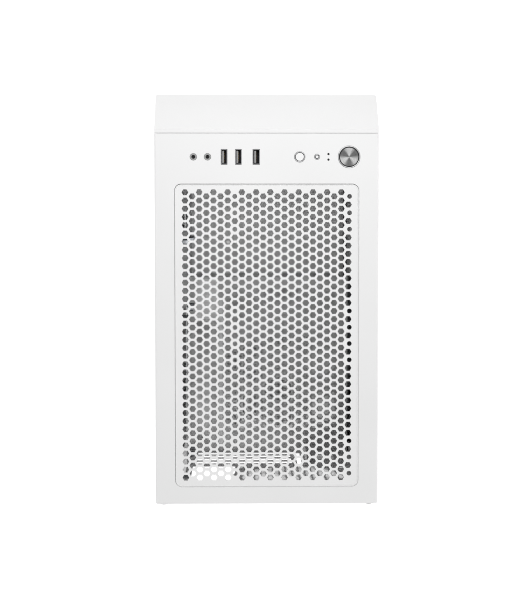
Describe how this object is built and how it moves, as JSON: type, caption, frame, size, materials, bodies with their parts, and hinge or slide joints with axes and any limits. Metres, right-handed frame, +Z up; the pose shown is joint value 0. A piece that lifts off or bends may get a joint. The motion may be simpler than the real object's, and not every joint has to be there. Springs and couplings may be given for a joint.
{
  "type": "computer tower case",
  "caption": "White micro-ATX computer tower with a perforated top, front sockets and buttons in the top cover, a tinted glass side and a sloping front cover.",
  "frame": {"origin": "on the floor under the middle of the whole tower", "axes": "+Z up, front faces -Y, rear +Y, glass side at -X"},
  "size_m": [0.205, 0.3812, 0.4184],
  "materials": {
    "black_plastic": "black ABS",
    "black_screw": "black, knurled",
    "black_steel": "black powder coat",
    "button_plastic": "white, slightly clear",
    "chrome_ring": "polished",
    "circuit_board": "green solder mask",
    "dark_clear_plastic": "smoked clear rod",
    "fan_plastic": "milky, slightly clear",
    "filter_net": "fine nylon net",
    "foot_plastic": "white ABS",
    "jack_plastic": "grey moulded",
    "nylon": "natural nylon",
    "plated_steel": "zinc or nickel plated",
    "rubber": "matt",
    "socket_tongue": "grey moulded",
    "tinted_glass": "smoked, toughened",
    "turned_aluminium": "fine turned rings",
    "white_plastic": "white ABS, fine matt texture",
    "white_steel": "fine white powder coat"
  },
  "bodies": {
    "chassis": {"board_screws": "plated_steel", "board_standoffs": "plated_steel", "bottom_grille": "white_steel", "bottom_panel": "white_steel", "chassis_rivets": "plated_steel", "drive_plate_lower": "white_steel", "drive_plate_upper": "white_steel", "fan_frame_middle": "black_plastic", "fan_frame_upper": "black_plastic", "fan_screws": "plated_steel", "foot_1": "foot_plastic", "foot_2": "foot_plastic", "foot_3": "foot_plastic", "foot_4": "foot_plastic", "foot_pads": "rubber", "front_frame": "white_steel", "headphone_jack": "jack_plastic", "light_pipes": "dark_clear_plastic", "light_ring": "chrome_ring", "light_switch": "black_plastic", "microphone_jack": "jack_plastic", "motherboard_tray": "white_steel", "panel_rails": "white_steel", "power_ring": "chrome_ring", "power_switch": "black_plastic", "psu_shroud": "white_steel", "rear_fan_grille": "white_steel", "rear_panel": "white_steel", "reset_ring": "chrome_ring", "reset_switch": "black_plastic", "shroud_grille": "white_steel", "slot_flange": "white_steel", "socket_board": "circuit_board", "socket_housing": "black_plastic", "top_edges": "white_steel", "top_grille": "white_steel", "top_panel": "white_steel", "usb_shell_1": "plated_steel", "usb_shell_2": "plated_steel", "usb_shell_3": "plated_steel", "usb_tongues": "socket_tongue"},
    "power_button": {"power_cap": "turned_aluminium", "power_plunger": "black_plastic"},
    "light_button_body": {"light_button": "button_plastic"},
    "reset_button_body": {"reset_button": "button_plastic"},
    "front_cover": {"front_shell": "white_plastic", "front_filter_frame": "black_plastic", "front_filter_mesh": "filter_net", "front_clips": "nylon"},
    "rotor_middle": {"fan_rotor_middle": "fan_plastic"},
    "rotor_upper": {"fan_rotor_upper": "fan_plastic"},
    "glass_side": {"glass_pane": "tinted_glass", "glass_carrier": "black_steel"},
    "glass_screw_lower": {"glass_thumbscrew_lower": "black_screw"},
    "glass_screw_upper": {"glass_thumbscrew_upper": "black_screw"},
    "steel_side_panel": {"steel_side": "white_steel"},
    "steel_screw_lower": {"steel_thumbscrew_lower": "black_screw"},
    "steel_screw_upper": {"steel_thumbscrew_upper": "black_screw"},
    "psu_filter": {"psu_filter_frame": "black_plastic", "psu_filter_mesh": "filter_net"}
  },
  "joints": [
    {"name": "power_press", "type": "slide", "parent": "chassis", "child": "power_button", "axis": [0, 0, -1], "range_m": [0, 0.0012], "stiffness_N_per_m": 1500},
    {"name": "light_press", "type": "slide", "parent": "chassis", "child": "light_button_body", "axis": [0, 0, -1], "range_m": [0, 0.001], "stiffness_N_per_m": 1200},
    {"name": "reset_press", "type": "slide", "parent": "chassis", "child": "reset_button_body", "axis": [0, 0, -1], "range_m": [0, 0.001], "stiffness_N_per_m": 1200},
    {"name": "front_cover_pull", "type": "slide", "parent": "chassis", "child": "front_cover", "axis": [0, -1, 0], "range_m": [0, 0.05]},
    {"name": "rotor_middle_spin", "type": "hinge", "parent": "chassis", "child": "rotor_middle", "pos_m": [0, -0.138, 0.21], "axis": [0, 1, 0], "continuous": true},
    {"name": "rotor_upper_spin", "type": "hinge", "parent": "chassis", "child": "rotor_upper", "pos_m": [0, -0.138, 0.332], "axis": [0, 1, 0], "continuous": true},
    {"name": "glass_side_slide", "type": "slide", "parent": "chassis", "child": "glass_side", "axis": [0, 1, 0], "range_m": [0, 0.28]},
    {"name": "steel_side_slide", "type": "slide", "parent": "chassis", "child": "steel_side_panel", "axis": [0, 1, 0], "range_m": [0, 0.28]},
    {"name": "filter_pull", "type": "slide", "parent": "chassis", "child": "psu_filter", "axis": [0, 1, 0], "range_m": [0, 0.12]},
    {"name": "glass_screw_lower_turn", "type": "hinge", "parent": "glass_side", "child": "glass_screw_lower", "pos_m": [-0.0956, 0.1864, 0.044], "axis": [0, 1, 0], "range_deg": [0, 1440]},
    {"name": "glass_screw_upper_turn", "type": "hinge", "parent": "glass_side", "child": "glass_screw_upper", "pos_m": [-0.0956, 0.1864, 0.398], "axis": [0, 1, 0], "range_deg": [0, 1440]},
    {"name": "steel_screw_lower_turn", "type": "hinge", "parent": "steel_side_panel", "child": "steel_screw_lower", "pos_m": [0.0956, 0.1864, 0.044], "axis": [0, 1, 0], "range_deg": [0, 1440]},
    {"name": "steel_screw_upper_turn", "type": "hinge", "parent": "steel_side_panel", "child": "steel_screw_upper", "pos_m": [0.0956, 0.1864, 0.398], "axis": [0, 1, 0], "range_deg": [0, 1440]}
  ]
}
